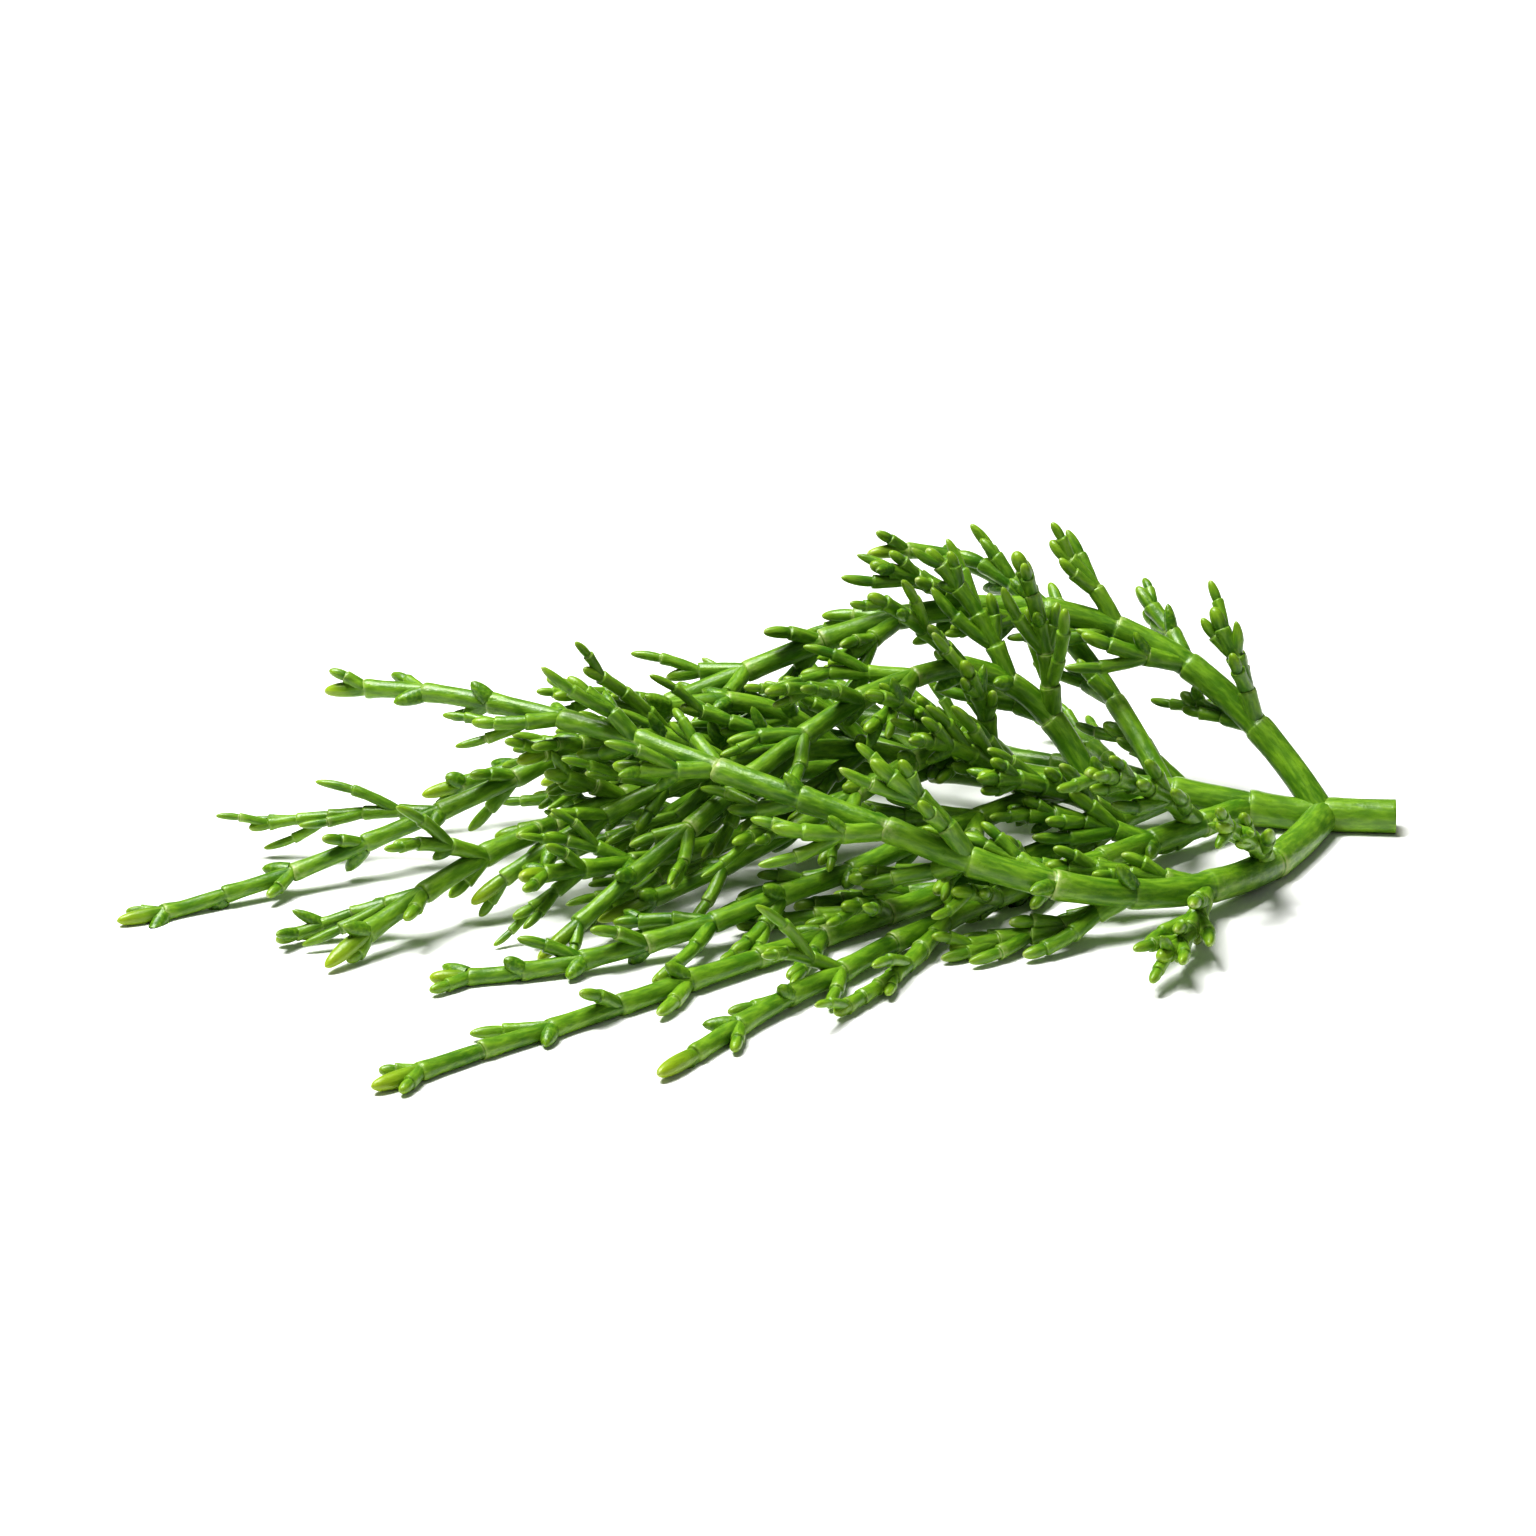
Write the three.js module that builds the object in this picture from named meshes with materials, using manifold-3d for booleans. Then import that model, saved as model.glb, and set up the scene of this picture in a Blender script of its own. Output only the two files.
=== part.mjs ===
// A picked top of marsh samphire (glasswort), lying on its side on a flat surface.
// One main stem carries opposite pairs of long branches, and every stem is a chain of fleshy
// joints: narrow at the foot, wider at the rim, with a pair of short shoots or shut buds there.
// Millimetres, +Z up, +X towards the cut end, -X towards the growing tips, -Y to the front.

import * as THREE from "three";
import { mergeVertices } from "three/addons/utils/BufferGeometryUtils.js";
import Module from "manifold-3d";

const wasm = await Module();
wasm.setup();

// Driving dimensions
const GAP = 0.37; // between a branch's foot and the main stem's skin
const PRESS = 0.88; // share of its radius at which a lying stem's middle rests above the surface
const JOINT_CROWDING = 1.25; // above 1, joints get shorter towards the tip
const FOOTPRINT_CENTRE = new THREE.Vector3(7.86, 15.54, 0); // from the routes' zero to the part's origin

// Swelling of a joint: [share of its length, share of the stem's radius]
const JOINT_SHAPE = [[0, 0.88], [0.9, 1.08]];
const STEM_TIP = [[0, 0.88], [0.45, 1], [0.85, 0.66]];
const SHOOT_TIP = [[0, 0.86], [0.7, 0.92]];

// Shoots at the joints
const SEED = 11;
const SHOOT_TURNS = [44, 30, 20]; // degrees off the parent stem, over the shoot's three thirds
const SHOOT_REACH = 25; // longest shoot near a branch's foot
const SHOOT_LEAST = 2.5;
const SHOOT_SHORTEST = 0.4; // share of the full reach that an open shoot has at least
const SHOOT_CROWDING = 0.8; // below 1, shoots keep their length further towards the tip
const SHOOT_THICKEST = 2.7;
const SHOOT_THICKNESS = [1.7, 0.06]; // of a short shoot, and more for each millimetre of length
const SHOOT_PARENT_SHARE = 1.7; // a shoot's thickness is at most this share of its parent's radius
const SHOOT_TAPER = 0.72;
const SKIN_DEPTH = 1.15; // a shoot starts this many radii of its parent below the skin
const SHOOT_JOINT_LENGTH = 7;
const BUD_SHARE = 0.2; // how many stay shut buds, raised from the rim of the joint
const BUD_LENGTH = [1.8, 3.2];
const BUD_LEAN = 42; // degrees off the stem
const BUD_THICK = 1.5;
const CLEARANCE = 0.5; // least gap between the nominal skins of two stems
const BALL_STEP = 1.2;
const ROOT_DEPTH = 1.3; // how far past the skin a shoot may touch its own parent
const ROOT_REACH = 6;
const TURNS_TO_TRY = [0, 25, -25, 50, -50, 75]; // degrees round the parent
const LENGTHS_TO_TRY = [1, 0.75, 0.5, 0.3];

const STEM_SIDES = 8;
const SHOOT_SIDES = 5;

const MAIN_STEM = {
  name: "main_stem",
  route: [[84, 38, 1.5], [50, 40, 1], [0, 46, 22.5], [-43, -5.2, 0.9]],
  joints: 15,
  base: 4.4,
  tip: 2.2,
  pairTurn: 80,
  bareJoints: 9, // these carry the long branches instead of shoots
};

// Long branches, in opposite pairs from the cut end: the main stem's joint that each leaves,
// the two bends and the tip of its route, its number of joints, its diameters, and its reach,
// which is the share of the full shoot length that its shoots have
const BRANCHES = [
  ["branch_1_back", 1, [[40, 75, 50], [-10, 38, 2], [-68.4, 8.6, 0.5]], 17, 3.6, 1.8, 0.6],
  ["branch_1_front", 1, [[48, -30, 0], [0, 22, 28], [-45, 31, 21]], 14, 4.2, 1.9, 1],
  ["branch_2_back", 2, [[48, 58, 1], [20, 72, 0.5], [-8, 60, 0.5]], 10, 3, 1.8, 1],
  ["branch_2_front", 2, [[46, 20, 3.4], [24, 8, 1.6], [-4.4, -35, 1]], 12, 3.3, 2.1, 1],
  ["branch_3_back", 3, [[46, 58, 20], [36, 66, 28], [20, 61, 27.5]], 6, 2.8, 1.8, 0.5],
  ["branch_3_front", 3, [[34, 18, 1.6], [6, -4, 1.2], [-36, -38, 1]], 13, 3.2, 2.1, 1],
  ["branch_4_top", 4, [[34, 54, 32], [12, 26, 18], [-18.7, -3, 1]], 11, 3.1, 1.9, 1],
  ["branch_4_front", 4, [[28, 20, 10], [-2, -6, 0], [-31, -8.5, 1]], 11, 3.1, 2, 1],
  ["branch_5_back", 5, [[22, 54, 14], [0, 56, 8], [-20, 46, 3]], 8, 2.9, 1.8, 1],
  ["branch_5_top", 5, [[33, 34, 22], [18, 17, 9], [-12, 4.5, 2.5]], 8, 2.9, 1.9, 1],
  ["branch_6_back", 6, [[12, 48, 13], [-14, 45, 9], [-34, 37, 5]], 8, 2.8, 1.8, 1],
  ["branch_6_front", 6, [[10, 28, 20], [-10, 18, 13], [-27, 9, 3]], 8, 2.8, 1.8, 1],
  ["branch_7_top", 7, [[8, 38, 21], [-4, 34, 19], [-15, 28.5, 15]], 5, 2.6, 1.8, 1],
  ["branch_7_front", 7, [[7.8, 24.4, 2.6], [-11.5, 11, 6.5], [-21, 2.8, 9]], 7, 2.8, 1.9, 1],
  ["branch_8_back", 8, [[0.5, 25.7, 2.4], [-14.5, 36.1, 5.6], [-20.8, 39.4, 3.8]], 6, 2.7, 1.8, 1],
  ["branch_8_top", 8, [[-2.1, 32.1, 17], [-12.5, 25.4, 17.6], [-21.8, 19.9, 16.4]], 6, 2.7, 1.8, 1],
];
const BRANCH_PAIR_TURN = 10;

// Shoots that grew long: stem, joint, side, length
const LONG_SHOOTS = [
  ["branch_1_back", 12, 1, 22],
  ["branch_1_back", 9, 1, 15],
  ["branch_1_back", 7, 1, 20],
  ["branch_2_front", 6, 1, 30],
  ["main_stem", 12, 1, 12],
  ["main_stem", 13, -1, 17],
  ["main_stem", 13, 1, 5],
];

const UP = new THREE.Vector3(0, 0, 1);
const radians = THREE.MathUtils.degToRad;
const lerp = THREE.MathUtils.lerp;
const point = ([x, y, z]) => new THREE.Vector3(x, y, z);

// A seeded draw between two values, the same on every run.
function seededDraw(seed) {
  let state = seed;
  return (low, high) => {
    state = (state * 48271) % 2147483647;
    return low + ((high - low) * state) / 2147483647;
  };
}

// Where joint k of n starts, as a share of the stem.
function jointAt(k, n) {
  return 1 - (1 - k / n) ** JOINT_CROWDING;
}

function bezierPoint(route, t) {
  return new THREE.CubicBezierCurve3(...route).getPoint(t);
}

function radiusAt(stem, t) {
  return lerp(stem.base, stem.tip, t) / 2;
}

// The middle of the stem at share t, kept up where the stem lies on the surface.
function middleAt(stem, t) {
  const middle = bezierPoint(stem.route, t);
  middle.z = Math.max(middle.z, radiusAt(stem, t) * PRESS);
  return middle;
}

// Directions at share t: along the stem, level to its side, and over its back.
function directionsAt(stem, t) {
  const [a, b, c, d] = stem.route;
  const u = 1 - t;
  const ahead = new THREE.Vector3()
    .addScaledVector(b.clone().sub(a), u * u)
    .addScaledVector(c.clone().sub(b), 2 * u * t)
    .addScaledVector(d.clone().sub(c), t * t)
    .normalize();
  const side = ahead.clone().cross(UP).normalize();
  return { ahead, side, over: side.clone().cross(ahead) };
}

// Balls along a stem, from a depth of `first` past its root, for testing clearance.
function ballsAlong(stem, first = 0) {
  const [a, b, c, d] = stem.route;
  const length = a.distanceTo(b) + b.distanceTo(c) + c.distanceTo(d);
  const count = Math.max(2, Math.ceil(length / BALL_STEP));
  const balls = [];
  for (let i = 0; i <= count; i++) {
    const t = i / count;
    if (t * length < first) continue;
    balls.push({ at: middleAt(stem, t), radius: radiusAt(stem, t), depth: t * length });
  }
  return balls;
}

// Whether a shoot's balls stay clear of every stem, and of its own parent past the root.
function isClear(balls, parent, root, ownDepth, ownReach, placed) {
  return placed.every(({ stem, balls: others }) => {
    const own = stem === parent;
    const tested = own ? balls.filter((ball) => ball.depth >= ownDepth) : balls;
    return others.every((other) => {
      if (own && other.at.distanceTo(root) <= ownReach) return true;
      return tested.every(
        (ball) => ball.at.distanceTo(other.at) - ball.radius - other.radius >= CLEARANCE,
      );
    });
  });
}

// A shoot of that length past the skin, leaving its parent at share t.
function shootFrom(parent, t, outward, length) {
  const { ahead } = directionsAt(parent, t);
  const radius = radiusAt(parent, t);
  const isBud = length <= BUD_LENGTH[1];
  const grown = SHOOT_THICKNESS[0] + SHOOT_THICKNESS[1] * length;
  const base = isBud ? BUD_THICK : Math.min(SHOOT_THICKEST, radius * SHOOT_PARENT_SHARE, grown);
  const route = [bezierPoint(parent.route, t)];
  for (const degrees of SHOOT_TURNS) {
    const a = radians(degrees);
    const third = (length + radius * SKIN_DEPTH) / SHOOT_TURNS.length;
    const next = route[route.length - 1]
      .clone()
      .addScaledVector(outward, Math.sin(a) * third)
      .addScaledVector(ahead, Math.cos(a) * third);
    route.push(next);
  }
  for (const next of route.slice(1)) next.z = Math.max(next.z, base / 2);
  const joints = Math.max(1, Math.round(length / SHOOT_JOINT_LENGTH));
  return { route, joints, base, tip: base * SHOOT_TAPER, sides: SHOOT_SIDES, buds: [] };
}

// The longest way to place a shoot near its pair's plane that touches nothing else.
function fittingShoot(parent, k, sign, fullLength, placed) {
  const t = jointAt(k, parent.joints);
  const skin = radiusAt(parent, t);
  const { side, over } = directionsAt(parent, t);
  for (const share of LENGTHS_TO_TRY) {
    const length = fullLength * share;
    if (length < BUD_LENGTH[0]) return null;
    for (const extra of TURNS_TO_TRY) {
      const turn = radians(parent.pairTurn + 90 * k + extra);
      const outward = new THREE.Vector3()
        .addScaledVector(side, Math.cos(turn) * sign)
        .addScaledVector(over, Math.sin(turn) * sign);
      const shoot = shootFrom(parent, t, outward, length);
      const balls = ballsAlong(shoot, skin);
      if (isClear(balls, parent, shoot.route[0], skin + ROOT_DEPTH, ROOT_REACH + length, placed)) {
        return { k, outward, length, shoot, balls };
      }
    }
  }
  return null;
}

// Gives a stem its shoots, and its shut buds, which are raised from the joints' rims.
function growShoots(parent, placed, draw) {
  const shoots = [];
  for (let k = parent.bareJoints + 1; k < parent.joints; k++) {
    for (const sign of [1, -1]) {
      const chance = draw(0, 1);
      const size = draw(0, 1);
      const long = LONG_SHOOTS.find(([n, j, s]) => n === parent.name && j === k && s === sign);
      const young = (1 - jointAt(k, parent.joints)) ** SHOOT_CROWDING;
      const open = lerp(SHOOT_SHORTEST, 1, size) * SHOOT_REACH * parent.reach * young + SHOOT_LEAST;
      const drawn = chance < BUD_SHARE ? lerp(...BUD_LENGTH, size) : open;
      const found = fittingShoot(parent, k, sign, long ? long[3] : drawn, placed);
      if (!found) continue;
      placed.push({ stem: found.shoot, balls: found.balls });
      if (found.length <= BUD_LENGTH[1]) parent.buds.push(found);
      else shoots.push(found.shoot);
    }
  }
  return shoots;
}

// The corners of one ring round a stem. A bud draws out the corner that is nearest to it.
function ringCorners(stem, t, radius, buds) {
  const middle = middleAt(stem, t);
  const { ahead, side, over } = directionsAt(stem, t);
  const corners = [];
  for (let i = 0; i < stem.sides; i++) {
    const angle = (2 * Math.PI * (i + 0.5)) / stem.sides;
    const corner = middle
      .clone()
      .addScaledVector(side, Math.sin(angle) * radius)
      .addScaledVector(over, -Math.cos(angle) * radius);
    corners.push(corner);
  }
  for (const { outward, length } of buds) {
    const reach = (corner) => corner.clone().sub(middle).dot(outward);
    const nearest = corners.reduce((best, corner) => (reach(corner) > reach(best) ? corner : best));
    nearest.addScaledVector(outward, Math.sin(radians(BUD_LEAN)) * length);
    nearest.addScaledVector(ahead, Math.cos(radians(BUD_LEAN)) * length);
  }
  return corners;
}

// One closed, jointed stem as a solid. extra thickens it all over and leaves its buds off.
function stemSolid(stem, extra = 0) {
  const tipShape = stem.sides === SHOOT_SIDES ? SHOOT_TIP : STEM_TIP;
  const vertices = [middleAt(stem, 0)];
  for (let k = 0; k < stem.joints; k++) {
    const shape = k === stem.joints - 1 ? tipShape : JOINT_SHAPE;
    const [from, to] = [jointAt(k, stem.joints), jointAt(k + 1, stem.joints)];
    for (const [share, swelling] of shape) {
      const t = lerp(from, to, share);
      const isRim = share === JOINT_SHAPE[1][0];
      const buds = stem.buds.filter((bud) => extra === 0 && isRim && bud.k === k + 1);
      vertices.push(...ringCorners(stem, t, radiusAt(stem, t) * swelling + extra, buds));
    }
  }
  const rings = (vertices.length - 1) / stem.sides;
  const corner = (ring, i) => 1 + ring * stem.sides + (i % stem.sides);
  const apex = vertices.length;
  vertices.push(middleAt(stem, 1));
  const faces = [];
  for (let i = 0; i < stem.sides; i++) {
    faces.push(0, corner(0, i), corner(0, i + 1));
    for (let ring = 0; ring < rings - 1; ring++) {
      faces.push(corner(ring, i), corner(ring + 1, i + 1), corner(ring, i + 1));
      faces.push(corner(ring, i), corner(ring + 1, i), corner(ring + 1, i + 1));
    }
    faces.push(corner(rings - 1, i + 1), corner(rings - 1, i), apex);
  }
  const geometry = new THREE.BufferGeometry().setFromPoints(vertices);
  geometry.setIndex(faces);
  return solidOf(geometry);
}

function solidOf(geometry) {
  return new wasm.Manifold(
    new wasm.Mesh({
      numProp: 3,
      vertProperties: new Float32Array(geometry.attributes.position.array),
      triVerts: new Uint32Array(geometry.index.array),
    }),
  );
}

// A block under the surface, which flattens what presses on it.
function underSurface() {
  const size = 400; // longer than the plant
  const box = new THREE.BoxGeometry(size, size, size).translate(0, 0, -size / 2);
  const closed = new THREE.BufferGeometry();
  closed.setAttribute("position", box.attributes.position);
  closed.setIndex(box.index);
  return solidOf(mergeVertices(closed));
}

// A named mesh whose own origin is at the stem's foot.
function meshOf(name, solid, foot, material) {
  const { numProp, numVert, vertProperties, triVerts } = solid.getMesh();
  const positions = [];
  for (let i = 0; i < numVert; i++) {
    positions.push(...vertProperties.subarray(i * numProp, i * numProp + 3));
  }
  const geometry = new THREE.BufferGeometry();
  geometry.setAttribute("position", new THREE.Float32BufferAttribute(positions, 3));
  geometry.setIndex([...triVerts]);
  geometry.translate(-foot.x, -foot.y, -foot.z);
  const mesh = new THREE.Mesh(geometry, material);
  mesh.name = name;
  mesh.position.copy(foot);
  return mesh;
}

const flesh = (name, color) => new THREE.MeshStandardMaterial({ name, color, roughness: 0.45, metalness: 0 });
const stemFlesh = flesh("stem flesh", "#5f8f2c");
const branchFlesh = flesh("branch flesh", "#5c9a22");

const mainStem = {
  ...MAIN_STEM,
  route: MAIN_STEM.route.map(point),
  reach: 1,
  sides: STEM_SIDES,
  buds: [],
};
const branches = BRANCHES.map(([name, joint, bends, joints, base, tip, reach]) => ({
  name,
  joint,
  route: [middleAt(mainStem, jointAt(joint, mainStem.joints)), ...bends.map(point)],
  joints,
  base,
  tip,
  reach,
  pairTurn: BRANCH_PAIR_TURN,
  bareJoints: 0,
  sides: STEM_SIDES,
  buds: [],
}));

const stems = [mainStem, ...branches];
const placed = stems.map((stem) => ({ stem, balls: ballsAlong(stem) }));
const draw = seededDraw(SEED);
const surface = underSurface();
const thickMainStem = stemSolid(mainStem, GAP);

const samphire = new THREE.Group();
samphire.name = "samphire";
samphire.position.copy(FOOTPRINT_CENTRE).negate();
for (const stem of stems) {
  const isMain = stem === mainStem;
  const shoots = growShoots(stem, placed, draw);
  let solid = stemSolid(stem);
  for (const shoot of shoots) solid = solid.add(stemSolid(shoot));
  if (!isMain) solid = solid.subtract(thickMainStem);
  solid = solid.subtract(surface);
  const material = isMain ? stemFlesh : branchFlesh;
  samphire.add(meshOf(stem.name, solid, stem.route[0], material));
}

export default samphire;
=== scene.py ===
"""A picked top of marsh samphire (glasswort), lying on its side on a pale surface.

The stems follow the same rule of growth as the solids that they stand for: a main stem, its long
branches in opposite pairs, and short shoots and buds at the joints. Finer shoots that the solids
leave out fill the joints that are still bare. Each stem is then drawn as a chain of fleshy joints,
with a rim that ends in two lobes, and gets a succulent skin.
"""

import math
from dataclasses import dataclass, field
from functools import cache, partial

import bmesh
import bpy
import numpy as np
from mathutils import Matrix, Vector


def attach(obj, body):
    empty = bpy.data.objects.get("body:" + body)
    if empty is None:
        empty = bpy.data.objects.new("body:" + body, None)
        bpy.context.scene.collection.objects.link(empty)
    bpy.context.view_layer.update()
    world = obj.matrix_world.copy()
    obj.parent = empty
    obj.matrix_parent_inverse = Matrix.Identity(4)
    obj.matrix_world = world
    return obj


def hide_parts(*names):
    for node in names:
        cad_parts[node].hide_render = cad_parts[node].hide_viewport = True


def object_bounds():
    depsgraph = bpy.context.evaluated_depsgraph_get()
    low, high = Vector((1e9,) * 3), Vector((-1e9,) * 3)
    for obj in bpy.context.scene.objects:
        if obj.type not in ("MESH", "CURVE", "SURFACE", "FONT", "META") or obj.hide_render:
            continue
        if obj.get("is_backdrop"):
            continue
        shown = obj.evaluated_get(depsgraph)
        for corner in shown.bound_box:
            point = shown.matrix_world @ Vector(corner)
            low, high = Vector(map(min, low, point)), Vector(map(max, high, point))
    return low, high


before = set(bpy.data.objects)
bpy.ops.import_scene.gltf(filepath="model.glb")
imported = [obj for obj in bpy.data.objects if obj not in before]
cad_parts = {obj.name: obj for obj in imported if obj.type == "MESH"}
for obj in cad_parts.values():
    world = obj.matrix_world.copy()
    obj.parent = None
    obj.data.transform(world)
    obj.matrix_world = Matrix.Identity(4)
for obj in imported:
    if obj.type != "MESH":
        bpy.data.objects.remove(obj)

bl_info = {
    "name": "Samphire",
    "version": (1, 0, 0),
    "blender": (4, 5, 0),
    "location": "3D View > Sidebar > Samphire",
    "description": "Grows a picked top of marsh samphire from a rule and lays it on a pale surface",
    "category": "Add Mesh",
}

MM = 0.001
UP = np.array((0.0, 0.0, 1.0))

# The seeded draw's multiplier and modulus
DRAW_MULTIPLIER = 48271
DRAW_MODULUS = 2147483647

# The plant's own sizes, in millimetres, as the solids have them
PRESS = 0.88  # share of its radius at which a lying stem's middle rests above the surface
JOINT_CROWDING = 1.25  # above 1, joints get shorter towards the tip
FOOTPRINT_CENTRE = np.array((7.86, 15.54, 0.0))

GROWTH_SEED = 11
SHOOT_TURNS = (44, 30, 20)  # degrees off the parent stem, over the shoot's three thirds
SHOOT_REACH = 25  # how far past the least length a stem's lowest shoots can grow
SHOOT_LEAST = 2.5
SHOOT_SHORTEST = 0.4  # the share of that reach that every shoot has
SHOOT_CROWDING = 0.8  # below 1, shoots keep their length for longer towards the tip
SHOOT_THICKEST = 2.7
SHOOT_THICKNESS = (1.7, 0.06)  # at no length, and for each millimetre of length
SHOOT_PARENT_SHARE = 1.7  # the thickest shoot, as a share of its parent's radius
SHOOT_TAPER = 0.72
SKIN_DEPTH = 1.15  # the slanting way from the parent's middle to its skin, in radii
BUD_SHARE = 0.2  # how many of the shoots are shut buds
BUD_LENGTH = (1.8, 3.2)
BUD_LEAN = 42  # degrees
BUD_THICK = 1.5
CLEARANCE = 0.5
BALL_STEP = 1.2
ROOT_DEPTH = 1.3  # how far past its parent's skin a shoot may come near its parent
ROOT_REACH = 6  # how far along its parent, past its own length, it may do so
TURNS_TO_TRY = (0, 25, -25, 50, -50, 75)  # degrees round the parent, off the pair's plane
LENGTHS_TO_TRY = (1, 0.75, 0.5, 0.3)

MAIN_ROUTE = ((84, 38, 1.5), (50, 40, 1), (0, 46, 22.5), (-43, -5.2, 0.9))
MAIN_JOINTS = 15
MAIN_THICKNESS = (4.4, 2.2)
MAIN_PAIR_TURN = 80
MAIN_BARE_JOINTS = 9
BRANCH_PAIR_TURN = 10

# Long branches: node, joint of the main stem, bends and tip of the route, joints, thickness at
# both ends, and how far the branch's shoots reach
BRANCHES = (
    ("branch_1_back", 1, ((40, 75, 50), (-10, 38, 2), (-68.4, 8.6, 0.5)), 17, (3.6, 1.8), 0.6),
    ("branch_1_front", 1, ((48, -30, 0), (0, 22, 28), (-45, 31, 21)), 14, (4.2, 1.9), 1),
    ("branch_2_back", 2, ((48, 58, 1), (20, 72, 0.5), (-8, 60, 0.5)), 10, (3, 1.8), 1),
    ("branch_2_front", 2, ((46, 20, 3.4), (24, 8, 1.6), (-4.4, -35, 1)), 12, (3.3, 2.1), 1),
    ("branch_3_back", 3, ((46, 58, 20), (36, 66, 28), (20, 61, 27.5)), 6, (2.8, 1.8), 0.5),
    ("branch_3_front", 3, ((34, 18, 1.6), (6, -4, 1.2), (-36, -38, 1)), 13, (3.2, 2.1), 1),
    ("branch_4_top", 4, ((34, 54, 32), (12, 26, 18), (-18.7, -3, 1)), 11, (3.1, 1.9), 1),
    ("branch_4_front", 4, ((28, 20, 10), (-2, -6, 0), (-31, -8.5, 1)), 11, (3.1, 2), 1),
    ("branch_5_back", 5, ((22, 54, 14), (0, 56, 8), (-20, 46, 3)), 8, (2.9, 1.8), 1),
    ("branch_5_top", 5, ((33, 34, 22), (18, 17, 9), (-12, 4.5, 2.5)), 8, (2.9, 1.9), 1),
    ("branch_6_back", 6, ((12, 48, 13), (-14, 45, 9), (-34, 37, 5)), 8, (2.8, 1.8), 1),
    ("branch_6_front", 6, ((10, 28, 20), (-10, 18, 13), (-27, 9, 3)), 8, (2.8, 1.8), 1),
    ("branch_7_top", 7, ((8, 38, 21), (-4, 34, 19), (-15, 28.5, 15)), 5, (2.6, 1.8), 1),
    ("branch_7_front", 7, ((7.8, 24.4, 2.6), (-11.5, 11, 6.5), (-21, 2.8, 9)), 7, (2.8, 1.9), 1),
    ("branch_8_back", 8, ((0.5, 25.7, 2.4), (-14.5, 36.1, 5.6), (-20.8, 39.4, 3.8)),
     6, (2.7, 1.8), 1),
    ("branch_8_top", 8, ((-2.1, 32.1, 17), (-12.5, 25.4, 17.6), (-21.8, 19.9, 16.4)),
     6, (2.7, 1.8), 1),
)

# Shoots that grew long: stem, joint and side, with their length
LONG_SHOOTS = {
    ("branch_1_back", 12, 1): 22,
    ("branch_1_back", 9, 1): 15,
    ("branch_1_back", 7, 1): 20,
    ("branch_2_front", 6, 1): 30,
    ("main_stem", 12, 1): 12,
    ("main_stem", 13, -1): 17,
    ("main_stem", 13, 1): 5,
}

# Finer than the solids: joints on the shoots, fine shoots ("fingers") at the bare joints, and the
# rings that draw a joint
FINE_SHOOT_JOINT = 3.6
FINE_CLEARANCE = 0.15
FINGERED_FROM = 8  # the shortest shoot that has fingers
FINGER_SEED = 7
FINGER_LENGTH = (4, 12)
FINGER_FADE = (1.1, 0.6)  # their share of that length at the stem's foot, and what the tip loses
FINGER_LEAST = 1.6
FINGER_JOINT = 7.2
FINGER_TURNS = (36, 20, 8)
FINGER_BOX = ((-68.2, -38.6, -1), (83.9, 69.7, 34.4))  # just inside the solids' box
FINE_BUD_THICK = 2.1
FINGER_BUD_THICK = 1.6
WOBBLE_SEED = 5
WOBBLE = 0.09  # how far a joint sits off the smooth route, as a share of the thickness
UNEVENNESS = 0.06  # how much thicker or thinner a joint is than its neighbours
STEM_CLUB = 0.15  # how far the joints at a stem's foot have a young joint's shape
SHOOT_CLUB = 0.5
STEM_YOUTH = 5.0  # how far a stem's tip is yellow
SHOOT_YOUTH = (1.2, 0.08)  # the same for a shoot, at no length and for each millimetre of length
STEM_SHADE = (0.3, 0.7)  # between 0, the deepest green, and 1
BUD_ROOT = 0.4  # where a bud is rooted, as a share of its stem's radius
STEM_RINGS = (0, 0.03, 0.08, 0.18, 0.34, 0.52, 0.7, 0.82, 0.89, 0.935, 0.965, 0.985)
SHOOT_RINGS = (0, 0.06, 0.2, 0.45, 0.7, 0.86, 0.93, 0.97)
TIP_RINGS = (0, 0.05, 0.15, 0.3, 0.48, 0.62, 0.74, 0.84, 0.91, 0.96, 0.99, 1)
BUD_RINGS = 12

# The cut end: the joint's share that is cut away, and the rings of the face, from its middle out:
# how far each stands past the end, its share of the radius, and of the cut face's colour
CUT_AWAY = 0.35
CUT_STEPS = (0.06, 0.04, 0.02)
CUT_GIRTHS = (0.02, 0.7, 0.97)
CUT_COLOUR = (1, 1, 0.8)


def from_hex(code):
    """An sRGB hex colour as linear red, green and blue."""
    channels = [int(code[i : i + 2], 16) / 255 for i in (1, 3, 5)]
    return tuple(c / 12.92 if c <= 0.04045 else ((c + 0.055) / 1.055) ** 2.4 for c in channels)


# Growth of the plant


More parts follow.
